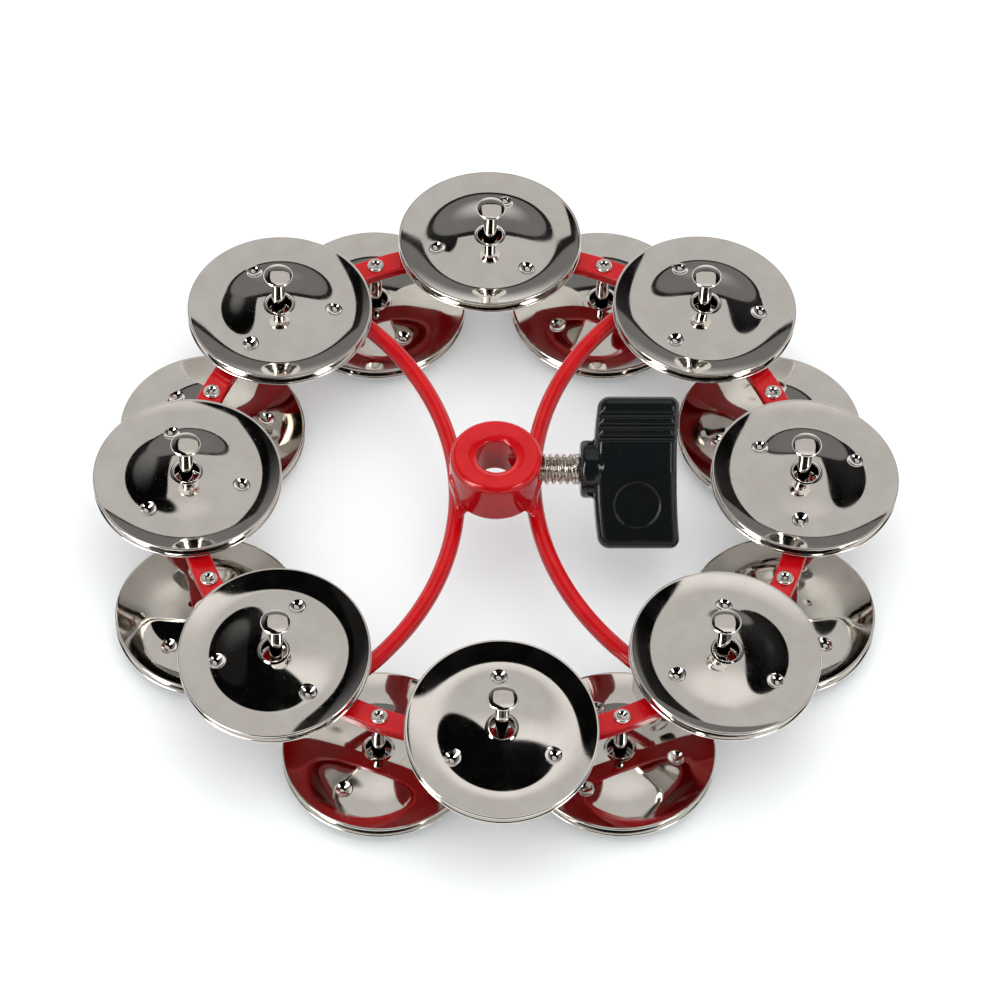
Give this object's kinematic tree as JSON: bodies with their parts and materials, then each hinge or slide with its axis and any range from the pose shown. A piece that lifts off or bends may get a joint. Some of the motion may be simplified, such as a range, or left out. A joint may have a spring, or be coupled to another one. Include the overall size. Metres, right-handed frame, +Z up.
{
  "type": "mountable tambourine",
  "caption": "Mountable tambourine: a flat red ring with loose domed jingle pairs on headed pins above and below, bowed spokes, and a hub with a T-handled clamp screw.",
  "frame": {"origin": "centre of the hub's bore, at its mid height", "axes": "+Z up along the bore, +X along the clamp screw towards the T-handle"},
  "size_m": [0.2172, 0.2176, 0.0429],
  "materials": {
    "red_enamel": "gloss powder coat",
    "nickel_jingle": "polished nickel plate, slightly warm",
    "nickel_pin": "polished nickel plate",
    "screw_steel": "bright zinc-plated thread",
    "black_plastic": "moulded gloss black"
  },
  "bodies": {
    "frame": {"ring": "red_enamel", "spoke_left": "red_enamel", "spoke_right": "red_enamel", "hub": "red_enamel", "pin_up_1": "nickel_pin", "pin_up_2": "nickel_pin", "pin_up_3": "nickel_pin", "pin_up_4": "nickel_pin", "pin_up_5": "nickel_pin", "pin_up_6": "nickel_pin", "pin_up_7": "nickel_pin", "pin_up_8": "nickel_pin", "pin_down_1": "nickel_pin", "pin_down_2": "nickel_pin", "pin_down_3": "nickel_pin", "pin_down_4": "nickel_pin", "pin_down_5": "nickel_pin", "pin_down_6": "nickel_pin", "pin_down_7": "nickel_pin", "pin_down_8": "nickel_pin"},
    "jingle_up_1_ring_side": {"jingle_up_1_ring_side": "nickel_jingle"},
    "jingle_up_1_head_side": {"jingle_up_1_head_side": "nickel_jingle"},
    "jingle_up_2_ring_side": {"jingle_up_2_ring_side": "nickel_jingle"},
    "jingle_up_2_head_side": {"jingle_up_2_head_side": "nickel_jingle"},
    "jingle_up_3_ring_side": {"jingle_up_3_ring_side": "nickel_jingle"},
    "jingle_up_3_head_side": {"jingle_up_3_head_side": "nickel_jingle"},
    "jingle_up_4_ring_side": {"jingle_up_4_ring_side": "nickel_jingle"},
    "jingle_up_4_head_side": {"jingle_up_4_head_side": "nickel_jingle"},
    "jingle_up_5_ring_side": {"jingle_up_5_ring_side": "nickel_jingle"},
    "jingle_up_5_head_side": {"jingle_up_5_head_side": "nickel_jingle"},
    "jingle_up_6_ring_side": {"jingle_up_6_ring_side": "nickel_jingle"},
    "jingle_up_6_head_side": {"jingle_up_6_head_side": "nickel_jingle"},
    "jingle_up_7_ring_side": {"jingle_up_7_ring_side": "nickel_jingle"},
    "jingle_up_7_head_side": {"jingle_up_7_head_side": "nickel_jingle"},
    "jingle_up_8_ring_side": {"jingle_up_8_ring_side": "nickel_jingle"},
    "jingle_up_8_head_side": {"jingle_up_8_head_side": "nickel_jingle"},
    "jingle_down_1_head_side": {"jingle_down_1_head_side": "nickel_jingle"},
    "jingle_down_1_ring_side": {"jingle_down_1_ring_side": "nickel_jingle"},
    "jingle_down_2_head_side": {"jingle_down_2_head_side": "nickel_jingle"},
    "jingle_down_2_ring_side": {"jingle_down_2_ring_side": "nickel_jingle"},
    "jingle_down_3_head_side": {"jingle_down_3_head_side": "nickel_jingle"},
    "jingle_down_3_ring_side": {"jingle_down_3_ring_side": "nickel_jingle"},
    "jingle_down_4_head_side": {"jingle_down_4_head_side": "nickel_jingle"},
    "jingle_down_4_ring_side": {"jingle_down_4_ring_side": "nickel_jingle"},
    "jingle_down_5_head_side": {"jingle_down_5_head_side": "nickel_jingle"},
    "jingle_down_5_ring_side": {"jingle_down_5_ring_side": "nickel_jingle"},
    "jingle_down_6_head_side": {"jingle_down_6_head_side": "nickel_jingle"},
    "jingle_down_6_ring_side": {"jingle_down_6_ring_side": "nickel_jingle"},
    "jingle_down_7_head_side": {"jingle_down_7_head_side": "nickel_jingle"},
    "jingle_down_7_ring_side": {"jingle_down_7_ring_side": "nickel_jingle"},
    "jingle_down_8_head_side": {"jingle_down_8_head_side": "nickel_jingle"},
    "jingle_down_8_ring_side": {"jingle_down_8_ring_side": "nickel_jingle"},
    "clamp_screw": {"clamp_screw": "screw_steel"},
    "t_handle": {"t_handle": "black_plastic"}
  },
  "joints": [
    {"name": "screw_advance", "type": "slide", "parent": "frame", "child": "clamp_screw", "axis": [-1, 0, 0], "range_m": [-0.00405, 0.00955]},
    {"name": "handle_turn", "type": "hinge", "parent": "clamp_screw", "child": "t_handle", "pos_m": [0.035, 0, 0], "axis": [-1, 0, 0], "range_deg": [-800, 1900]},
    {"name": "rattle_up_1_ring_side", "type": "slide", "parent": "frame", "child": "jingle_up_1_ring_side", "axis": [0, 0, 1], "range_m": [0, 0.0048]},
    {"name": "rattle_up_1_head_side", "type": "slide", "parent": "jingle_up_1_ring_side", "child": "jingle_up_1_head_side", "axis": [0, 0, 1], "range_m": [0, 0.0049]},
    {"name": "rattle_up_2_ring_side", "type": "slide", "parent": "frame", "child": "jingle_up_2_ring_side", "axis": [0, 0, 1], "range_m": [0, 0.005]},
    {"name": "rattle_up_2_head_side", "type": "slide", "parent": "jingle_up_2_ring_side", "child": "jingle_up_2_head_side", "axis": [0, 0, 1], "range_m": [0, 0.0049]},
    {"name": "rattle_up_3_ring_side", "type": "slide", "parent": "frame", "child": "jingle_up_3_ring_side", "axis": [0, 0, 1], "range_m": [0, 0.005]},
    {"name": "rattle_up_3_head_side", "type": "slide", "parent": "jingle_up_3_ring_side", "child": "jingle_up_3_head_side", "axis": [0, 0, 1], "range_m": [0, 0.0049]},
    {"name": "rattle_up_4_ring_side", "type": "slide", "parent": "frame", "child": "jingle_up_4_ring_side", "axis": [0, 0, 1], "range_m": [0, 0.0051]},
    {"name": "rattle_up_4_head_side", "type": "slide", "parent": "jingle_up_4_ring_side", "child": "jingle_up_4_head_side", "axis": [0, 0, 1], "range_m": [0, 0.0051]},
    {"name": "rattle_up_5_ring_side", "type": "slide", "parent": "frame", "child": "jingle_up_5_ring_side", "axis": [0, 0, 1], "range_m": [0, 0.0052]},
    {"name": "rattle_up_5_head_side", "type": "slide", "parent": "jingle_up_5_ring_side", "child": "jingle_up_5_head_side", "axis": [0, 0, 1], "range_m": [0, 0.0052]},
    {"name": "rattle_up_6_ring_side", "type": "slide", "parent": "frame", "child": "jingle_up_6_ring_side", "axis": [0, 0, 1], "range_m": [0, 0.0044]},
    {"name": "rattle_up_6_head_side", "type": "slide", "parent": "jingle_up_6_ring_side", "child": "jingle_up_6_head_side", "axis": [0, 0, 1], "range_m": [0, 0.0044]},
    {"name": "rattle_up_7_ring_side", "type": "slide", "parent": "frame", "child": "jingle_up_7_ring_side", "axis": [0, 0, 1], "range_m": [0, 0.004]},
    {"name": "rattle_up_7_head_side", "type": "slide", "parent": "jingle_up_7_ring_side", "child": "jingle_up_7_head_side", "axis": [0, 0, 1], "range_m": [0, 0.0041]},
    {"name": "rattle_up_8_ring_side", "type": "slide", "parent": "frame", "child": "jingle_up_8_ring_side", "axis": [0, 0, 1], "range_m": [0, 0.0045]},
    {"name": "rattle_up_8_head_side", "type": "slide", "parent": "jingle_up_8_ring_side", "child": "jingle_up_8_head_side", "axis": [0, 0, 1], "range_m": [0, 0.0044]},
    {"name": "rattle_down_1_head_side", "type": "slide", "parent": "frame", "child": "jingle_down_1_head_side", "axis": [0, 0, 1], "range_m": [0, 0.0053]},
    {"name": "rattle_down_1_ring_side", "type": "slide", "parent": "jingle_down_1_head_side", "child": "jingle_down_1_ring_side", "axis": [0, 0, 1], "range_m": [0, 0.0054]},
    {"name": "rattle_down_2_head_side", "type": "slide", "parent": "frame", "child": "jingle_down_2_head_side", "axis": [0, 0, 1], "range_m": [0, 0.0053]},
    {"name": "rattle_down_2_ring_side", "type": "slide", "parent": "jingle_down_2_head_side", "child": "jingle_down_2_ring_side", "axis": [0, 0, 1], "range_m": [0, 0.0054]},
    {"name": "rattle_down_3_head_side", "type": "slide", "parent": "frame", "child": "jingle_down_3_head_side", "axis": [0, 0, 1], "range_m": [0, 0.0053]},
    {"name": "rattle_down_3_ring_side", "type": "slide", "parent": "jingle_down_3_head_side", "child": "jingle_down_3_ring_side", "axis": [0, 0, 1], "range_m": [0, 0.0054]},
    {"name": "rattle_down_4_head_side", "type": "slide", "parent": "frame", "child": "jingle_down_4_head_side", "axis": [0, 0, 1], "range_m": [0, 0.0053]},
    {"name": "rattle_down_4_ring_side", "type": "slide", "parent": "jingle_down_4_head_side", "child": "jingle_down_4_ring_side", "axis": [0, 0, 1], "range_m": [0, 0.0054]},
    {"name": "rattle_down_5_head_side", "type": "slide", "parent": "frame", "child": "jingle_down_5_head_side", "axis": [0, 0, 1], "range_m": [0, 0.0053]},
    {"name": "rattle_down_5_ring_side", "type": "slide", "parent": "jingle_down_5_head_side", "child": "jingle_down_5_ring_side", "axis": [0, 0, 1], "range_m": [0, 0.0054]},
    {"name": "rattle_down_6_head_side", "type": "slide", "parent": "frame", "child": "jingle_down_6_head_side", "axis": [0, 0, 1], "range_m": [0, 0.0053]},
    {"name": "rattle_down_6_ring_side", "type": "slide", "parent": "jingle_down_6_head_side", "child": "jingle_down_6_ring_side", "axis": [0, 0, 1], "range_m": [0, 0.0054]},
    {"name": "rattle_down_7_head_side", "type": "slide", "parent": "frame", "child": "jingle_down_7_head_side", "axis": [0, 0, 1], "range_m": [0, 0.0053]},
    {"name": "rattle_down_7_ring_side", "type": "slide", "parent": "jingle_down_7_head_side", "child": "jingle_down_7_ring_side", "axis": [0, 0, 1], "range_m": [0, 0.0054]},
    {"name": "rattle_down_8_head_side", "type": "slide", "parent": "frame", "child": "jingle_down_8_head_side", "axis": [0, 0, 1], "range_m": [0, 0.0053]},
    {"name": "rattle_down_8_ring_side", "type": "slide", "parent": "jingle_down_8_head_side", "child": "jingle_down_8_ring_side", "axis": [0, 0, 1], "range_m": [0, 0.0054]}
  ],
  "couplings": [
    {"joint": "screw_advance", "follows": "handle_turn", "m_per_rad": 0.00028648}
  ]
}
